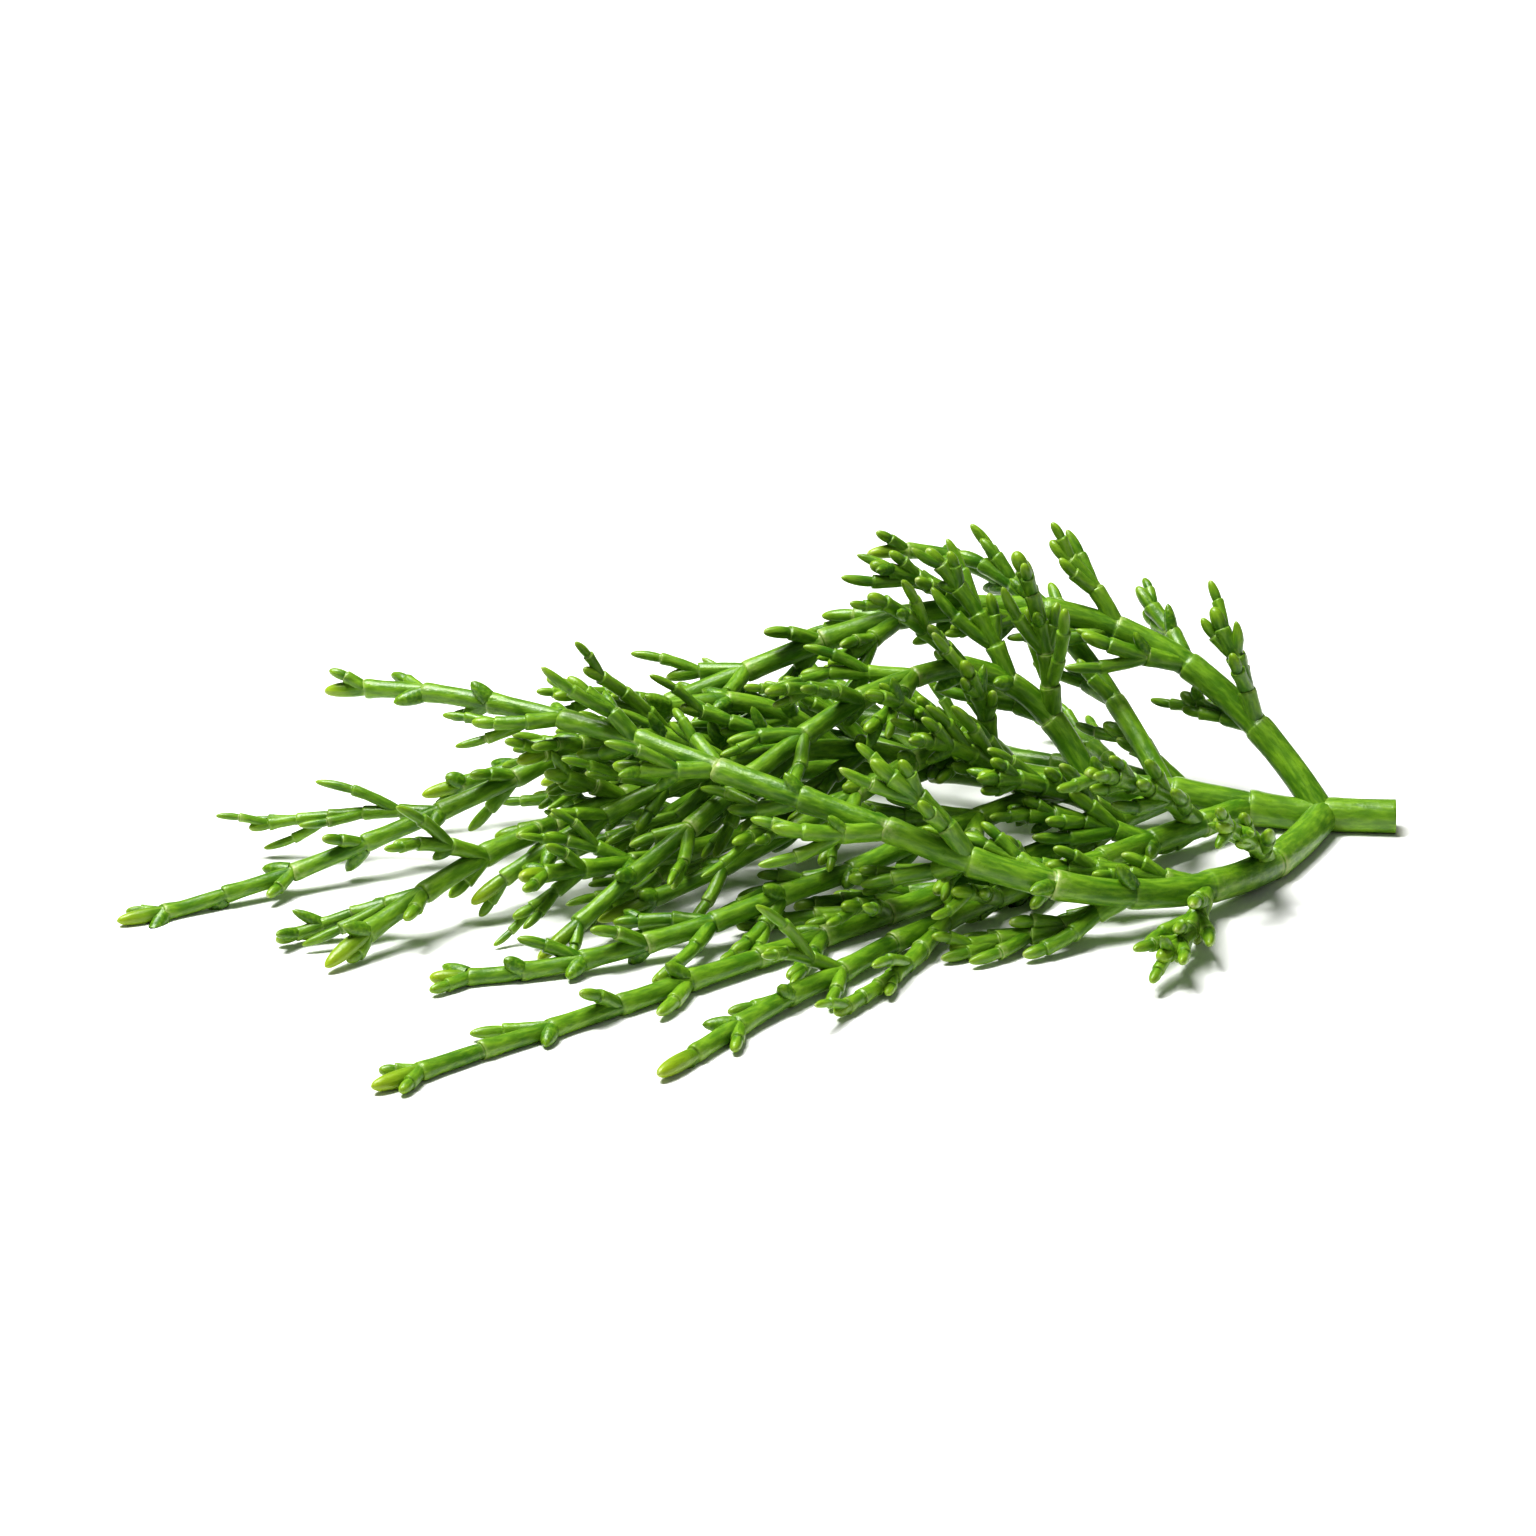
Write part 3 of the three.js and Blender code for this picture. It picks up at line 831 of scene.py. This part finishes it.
def succulent_flesh(name, look, old):
    """Living succulent skin: thin, wet inside, satin and faintly waxy, over water-filled cells.

    The eye gets a deep, slightly glowing green that changes from shoot to shoot, fine pale
    streaks (partly the skin's own, partly painted highlight), a cream ring at some of the joints,
    and tips that fade to yellow-green.
    """
    material = bpy.data.materials.new(name)
    material.use_nodes = True
    tree = material.node_tree
    tree.nodes.clear()
    math_of = partial(add_math, tree)

    def value_of(attribute):
        return add_node(tree, "ShaderNodeAttribute", attribute_name=attribute).outputs["Fac"]

    def ranged(value, *bounds):
        names = ("From Min", "From Max", "To Min", "To Max")
        made = add_node(tree, "ShaderNodeMapRange", {"Value": value, **dict(zip(names, bounds))})
        return made.outputs["Result"]

    def mixed(share, a, b):
        made = add_node(tree, "ShaderNodeMix", {0: share, 6: a, 7: b}, data_type="RGBA")
        return made.outputs[2]

    def noise(width, detail, vector):
        inputs = {"Vector": vector, "Scale": 1 / (width * MM), "Detail": detail}
        return add_node(tree, "ShaderNodeTexNoise", inputs).outputs["Fac"]

    place = add_node(tree, "ShaderNodeTexCoord").outputs["Object"]
    # Places drawn together along the stem, so that a pattern on them runs lengthwise
    middle = add_node(tree, "ShaderNodeAttribute", attribute_name="middle").outputs["Vector"]
    drawn_in = add_node(
        tree, "ShaderNodeVectorMath", {0: middle, "Scale": STREAK_PULL}, operation="SCALE"
    ).outputs["Vector"]
    lengthwise = add_node(
        tree, "ShaderNodeVectorMath", {0: place, 1: drawn_in}, operation="SUBTRACT"
    ).outputs["Vector"]
    phase = value_of("phase")
    bud = math_of("MULTIPLY", value_of("is_bud"), value_of("bud_share"))

    # Green deepens in patches and from shoot to shoot, and pales along each joint towards its rim
    patches = math_of("ADD", noise(PATCH, 2.0, place), math_of("MULTIPLY", value_of("shade"), 0.3))
    green = mixed(ranged(patches, 0.45, 0.85, 0.0, 1.0), (*old, 1), (*look.flesh, 1))
    green = mixed(ranged(phase, 0.1, 0.9, 0.0, 0.3), green, (*look.pale_flesh_and_highlight, 1))
    streaks_and_highlights = noise(STREAK, 3.0, lengthwise)
    # Pale lengthwise streaks: partly the skin's own streaks, partly painted highlight along the
    # stems
    green = mixed(ranged(streaks_and_highlights, 0.45, 0.7, 0.0, 0.5), green, (*look.pale_flesh_and_highlight, 1))
    green = mixed(ranged(streaks_and_highlights, 0.5, 0.3, 0.0, 0.45), green, (*old, 1))
    # Tips turn yellow-green, most of all on the long stems
    yellow = math_of("SUBTRACT", 0.85, math_of("MULTIPLY", value_of("is_shoot"), 0.5))
    tip = math_of("MULTIPLY", ranged(value_of("youth"), 0.3, 0.95, 0.0, 1.0), yellow)
    tip = math_of("MAXIMUM", tip, ranged(bud, 0.6, 1.0, 0.0, 0.2))
    green = mixed(tip, green, (*look.tip, 1))
    # A ring where a joint's rim meets the foot of the next joint, cream at some and faint at most
    foot = ranged(phase, 0.0, 0.05, 1.0, 0.0)
    rim = math_of("MAXIMUM", ranged(phase, 0.93, 0.975, 0.0, 1.0), foot)
    plain = math_of("SUBTRACT", 1.0, value_of("is_bud"))
    pale_node = ranged(noise(PALE_NODE, 1.0, place), 0.5, 0.64, 0.0, 1.0)
    strength = ranged(pale_node, 0.0, 1.0, 0.06, 0.5)
    rim = math_of("MULTIPLY", math_of("MULTIPLY", rim, plain), strength)
    # Around such a node the flesh is blotched with cream for a millimetre or two
    foot = ranged(phase, 0.0, 0.12, 1.0, 0.0)
    near = math_of("MAXIMUM", ranged(phase, 0.8, 0.98, 0.0, 1.0), foot)
    blotches = ranged(noise(BLOTCH, 2.0, place), 0.45, 0.6, 0.0, 0.4)
    blotches = math_of("MULTIPLY", math_of("MULTIPLY", near, blotches), pale_node)
    rim = math_of("MAXIMUM", rim, math_of("MULTIPLY", blotches, plain))
    green = mixed(rim, green, (*look.joint_ring, 1))
    green = mixed(value_of("cut"), green, (*look.cut_face, 1))

    # Skin cells, with shallow dimples and streaks over them
    cells = noise(CELL, 2.0, place)
    dimples = noise(DIMPLE, 2.0, place)
    height = math_of("ADD", math_of("MULTIPLY", cells, 0.3), math_of("ADD", dimples, streaks_and_highlights))
    bump = add_node(
        tree, "ShaderNodeBump", {"Strength": 0.5, "Distance": 0.18 * MM, "Height": height}
    )
    shader = add_node(
        tree,
        "ShaderNodeBsdfPrincipled",
        {
            "Base Color": green,
            "Roughness": ranged(cells, 0.3, 0.7, 0.27, 0.42),
            "IOR": 1.42,
            "Specular IOR Level": 0.45,
            "Subsurface Weight": 0.12,
            "Subsurface Radius": (0.7, 1.0, 0.25),
            "Subsurface Scale": 0.7 * MM,
            "Coat Weight": 0.14,
            "Coat Roughness": 0.3,
            "Normal": bump.outputs[0],
        },
    )
    add_node(tree, "ShaderNodeOutputMaterial", {"Surface": shader.outputs[0]})
    return material


def matte_board(name, colour):
    """Matte white board, rolled: an even, pale ground with a trace of paper grain."""
    material = bpy.data.materials.new(name)
    material.use_nodes = True
    tree = material.node_tree
    tree.nodes.clear()
    place = add_node(tree, "ShaderNodeTexCoord").outputs["Object"]
    grain = add_node(
        tree, "ShaderNodeTexNoise", {"Vector": place, "Scale": BOARD_GRAIN, "Detail": 2.0}
    ).outputs["Fac"]
    bump = add_node(
        tree, "ShaderNodeBump", {"Strength": 0.05, "Distance": 0.1 * MM, "Height": grain}
    )
    shader = add_node(
        tree,
        "ShaderNodeBsdfPrincipled",
        {"Base Color": (*colour, 1), "Roughness": 0.85, "Normal": bump.outputs[0]},
    )
    add_node(tree, "ShaderNodeOutputMaterial", {"Surface": shader.outputs[0]})
    return material


# Settings, as a user would change them


def colour_property(name, description, code):
    return bpy.props.FloatVectorProperty(
        name=name,
        description=description,
        default=from_hex(code),
        subtype="COLOR",
        size=3,
        min=0,
        max=1,
    )


class SamphireShape(bpy.types.PropertyGroup):
    """How finely the stems are drawn, and how their rims end."""

    stem_sides: bpy.props.IntProperty(
        name="Stem sides",
        description="Sides of the main stem and the branches",
        default=16,
        min=6,
        max=32,
    )
    shoot_sides: bpy.props.IntProperty(
        name="Shoot sides", description="Sides of the side shoots", default=12, min=5, max=24
    )
    bud_sides: bpy.props.IntProperty(
        name="Bud sides", description="Sides of the shut buds", default=8, min=5, max=16
    )
    lobe_height: bpy.props.FloatProperty(
        name="Lobe height",
        description="How far a rim's two lobes stand out, as a share of the stem's radius",
        default=0.16,
        min=0,
        max=0.6,
        subtype="FACTOR",
    )
    lobe_reach: bpy.props.FloatProperty(
        name="Lobe reach",
        description="How far the lobes reach over the next joint, as a share of the stem's radius",
        default=0.3,
        min=0,
        max=1,
        subtype="FACTOR",
    )


class SamphireLook(bpy.types.PropertyGroup):
    """Colours of the flesh."""

    flesh: colour_property("Flesh", "Fresh green of the branches", "#66911c")
    old_flesh: colour_property("Older flesh", "Deeper green patches on the branches", "#3a6a0a")
    stem_flesh: colour_property("Main stem", "Deeper green patches on the main stem", "#446f14")
    # Pale flesh: the skin's own pale rims, and the colour of the pale streaks that are partly
    # painted highlight
    pale_flesh_and_highlight: colour_property("Pale flesh", "Streaks, and the flesh towards each rim", "#8cb430")
    tip: colour_property("Tip", "Yellow-green of the growing tips", "#96ad1a")
    joint_ring: colour_property("Joint ring", "Pale ring at some of the joints", "#c3c88c")
    cut_face: colour_property("Cut face", "Moist flesh at the cut end", "#a9bf62")


class SamphireStage(bpy.types.PropertyGroup):
    """The floor, the lights and the camera."""

    floor_size: bpy.props.FloatProperty(
        name="Floor size",
        description="Side of the square floor",
        default=6.0,
        min=1,
        unit="LENGTH",
    )
    floor: colour_property("Floor", "Pale ground", "#f6f6f4")
    elevation: bpy.props.FloatProperty(
        name="Camera elevation",
        description="How steeply the camera looks down",
        default=math.radians(22),
        min=0,
        max=math.radians(90),
        subtype="ANGLE",
    )
    distance: bpy.props.FloatProperty(
        name="Camera distance",
        description="From the plant's middle",
        default=0.75,
        min=0.2,
        unit="LENGTH",
    )
    lens: bpy.props.FloatProperty(
        name="Lens",
        description="Focal length of the camera, in millimetres",
        default=150,
        min=20,
        max=300,
    )


# Operators

# A wide light high overhead and a little left, a small one for glints and a weak one in front:
# name, place and width in metres, watts
LIGHTS = (
    ("soft_key", (-0.22, 0.12, 0.82), 0.55, 10.2),
    ("small_key", (-0.35, -0.05, 0.75), 0.12, 3.0),
    ("soft_fill", (0.5, -0.7, 0.5), 0.9, 0.4),
)
ROOM_LIGHT = 0.11


class SAMPHIRE_OT_main_stem(bpy.types.Operator):
    """Grows the main stem with the shoots near its tip"""

    bl_idname = "samphire.main_stem"
    bl_label = "Grow main stem"

    def execute(self, context):
        look = context.scene.samphire_look
        flesh = succulent_flesh("succulent_main_stem_skin", look, look.stem_flesh)
        stem = grow_plant()["main_stem"]
        grow_piece(stem, build_stem_tree(), flesh, context.scene.samphire_shape)
        return {"FINISHED"}


class SAMPHIRE_OT_branches(bpy.types.Operator):
    """Grows the long branches with their shoots and buds"""

    bl_idname = "samphire.branches"
    bl_label = "Grow branches"

    def execute(self, context):
        look = context.scene.samphire_look
        flesh = succulent_flesh("succulent_branch_skin", look, look.old_flesh)
        tree = build_stem_tree()
        for name, stem in grow_plant().items():
            if name != "main_stem":
                grow_piece(stem, tree, flesh, context.scene.samphire_shape)
        return {"FINISHED"}


class SAMPHIRE_OT_stage(bpy.types.Operator):
    """Lays the floor, hangs the lights and sets the camera"""

    bl_idname = "samphire.stage"
    bl_label = "Set the stage"

    def execute(self, context):
        scene = context.scene
        stage = scene.samphire_stage
        low, high = (Vector(corner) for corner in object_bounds())
        middle = (low + high) / 2

        half = stage.floor_size / 2
        mesh = bpy.data.meshes.new("floor")
        corners = [(-half, -half, 0), (half, -half, 0), (half, half, 0), (-half, half, 0)]
        mesh.from_pydata(corners, [], [(0, 1, 2, 3)])
        mesh.materials.append(matte_board("matte_white_board", stage.floor))
        floor = bpy.data.objects.new("floor", mesh)
        scene.collection.objects.link(floor)
        floor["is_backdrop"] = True

        for name, place, width, power in LIGHTS:
            lamp = bpy.data.lights.new(name, "AREA")
            lamp.shape = "DISK"
            lamp.size = width
            lamp.energy = power
            light = bpy.data.objects.new(name, lamp)
            light.location = place
            light.rotation_euler = (middle - Vector(place)).to_track_quat("-Z", "Y").to_euler()
            scene.collection.objects.link(light)

        world = bpy.data.worlds.new("studio_white")
        world.use_nodes = True
        background = world.node_tree.nodes["Background"]
        background.inputs["Color"].default_value = (1, 1, 1, 1)
        background.inputs["Strength"].default_value = ROOM_LIGHT
        scene.world = world
        scene.view_settings.view_transform = "Standard"
        scene.view_settings.look = "Medium High Contrast"

        lens = bpy.data.cameras.new("camera")
        lens.lens = stage.lens
        camera = bpy.data.objects.new("camera", lens)
        back = Vector((0, -math.cos(stage.elevation), math.sin(stage.elevation)))
        camera.location = middle + back * stage.distance
        camera.rotation_euler = (-back).to_track_quat("-Z", "Y").to_euler()
        scene.collection.objects.link(camera)
        scene.camera = camera
        return {"FINISHED"}


class SAMPHIRE_PT_panel(bpy.types.Panel):
    """Lists the steps and their settings"""

    bl_idname = "SAMPHIRE_PT_panel"
    bl_label = "Samphire"
    bl_space_type = "VIEW_3D"
    bl_region_type = "UI"
    bl_category = "Samphire"

    def draw(self, context):
        for operator in OPERATORS:
            self.layout.operator(operator.bl_idname)
        for group in ("samphire_shape", "samphire_look", "samphire_stage"):
            settings = getattr(context.scene, group)
            box = self.layout.box()
            for name in settings.bl_rna.properties.keys():
                if name not in ("rna_type", "name"):
                    box.prop(settings, name)


OPERATORS = (SAMPHIRE_OT_main_stem, SAMPHIRE_OT_branches, SAMPHIRE_OT_stage)
GROUPS = (
    ("samphire_shape", SamphireShape),
    ("samphire_look", SamphireLook),
    ("samphire_stage", SamphireStage),
)


def register():
    for _, group in GROUPS:
        bpy.utils.register_class(group)
    for name, group in GROUPS:
        setattr(bpy.types.Scene, name, bpy.props.PointerProperty(type=group))
    for made in (*OPERATORS, SAMPHIRE_PT_panel):
        bpy.utils.register_class(made)


def unregister():
    for made in (SAMPHIRE_PT_panel, *reversed(OPERATORS)):
        bpy.utils.unregister_class(made)
    for name, group in reversed(GROUPS):
        delattr(bpy.types.Scene, name)
        bpy.utils.unregister_class(group)


def main():
    register()
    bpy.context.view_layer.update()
    bpy.ops.samphire.main_stem()
    bpy.ops.samphire.branches()
    bpy.ops.samphire.stage()
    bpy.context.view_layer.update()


if __name__ == "__main__":
    main()
